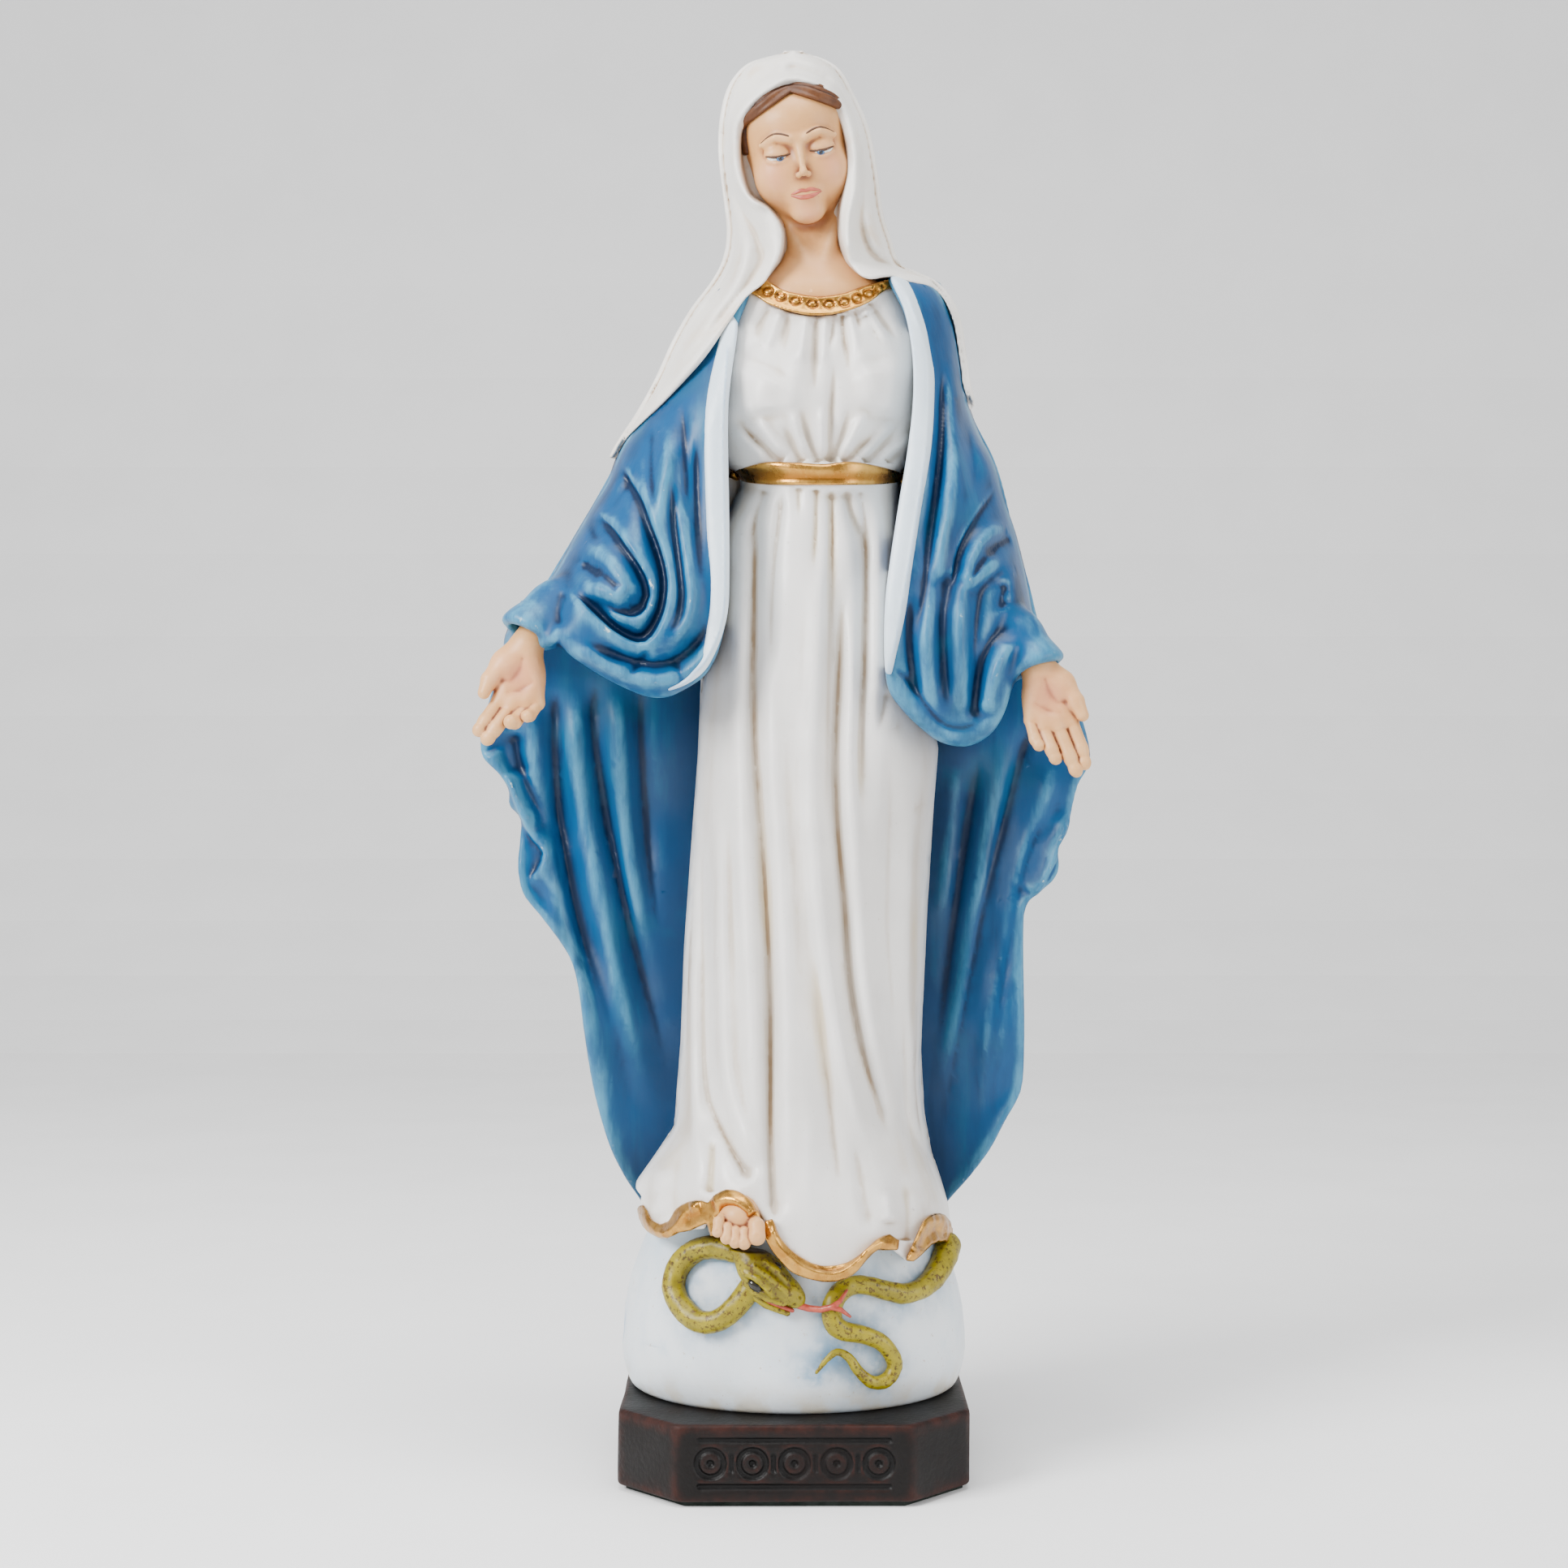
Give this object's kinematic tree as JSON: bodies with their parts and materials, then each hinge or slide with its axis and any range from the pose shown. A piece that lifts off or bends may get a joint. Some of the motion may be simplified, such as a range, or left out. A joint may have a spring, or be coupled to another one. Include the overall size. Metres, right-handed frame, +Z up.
{
  "type": "madonna statue",
  "caption": "Standing robed figure with open hands on a globe with a serpent, on an eight-sided plinth; painted cast devotional statue.",
  "frame": {"origin": "centre of the felt pad's underside, on the surface the statue stands on", "axes": "+Z up, the figure faces -Y, its right hand is on the -X side"},
  "size_m": [0.1303, 0.072, 0.2996],
  "materials": {
    "felt": "matt felt",
    "plinth_paint": "painted cast resin, dark brown-black with rubbed reddish-brown edges",
    "steel": "zinc-plated",
    "brass": "machined",
    "wood": "beech",
    "globe_paint": "painted cast resin, pale bluish white, aged",
    "serpent_paint": "painted cast resin, olive yellow-green, satin",
    "tongue_paint": "painted cast resin, red",
    "dress_paint": "painted cast resin, white with brown antiquing",
    "gold_paint": "painted cast resin, satin gold",
    "skin_paint": "painted cast resin, skin tone, satin",
    "hair_paint": "painted cast resin, brown",
    "veil_paint": "painted cast resin, off-white",
    "mantle_paint": "painted cast resin, blue with pale dry brushing",
    "lining_paint": "painted cast resin, bluish white"
  },
  "bodies": {
    "root": {"felt_pad": "felt", "plinth": "plinth_paint", "base_screw": "steel", "screw_washer": "steel", "threaded_insert": "brass", "locating_dowels": "wood", "globe": "globe_paint", "serpent_body": "serpent_paint", "serpent_head": "serpent_paint", "serpent_tongue": "tongue_paint", "skirt": "dress_paint", "hem_trim": "gold_paint", "foot": "skin_paint", "girdle": "gold_paint", "bodice": "dress_paint", "collar": "gold_paint", "head": "skin_paint", "hair": "hair_paint", "veil": "veil_paint", "mantle_back": "mantle_paint", "right_arm_drape": "mantle_paint", "left_arm_drape": "mantle_paint", "right_lining_band": "lining_paint", "left_lining_band": "lining_paint", "right_hand": "skin_paint", "left_hand": "skin_paint", "right_wrist_pin": "steel", "left_wrist_pin": "steel"}
  },
  "joints": []
}
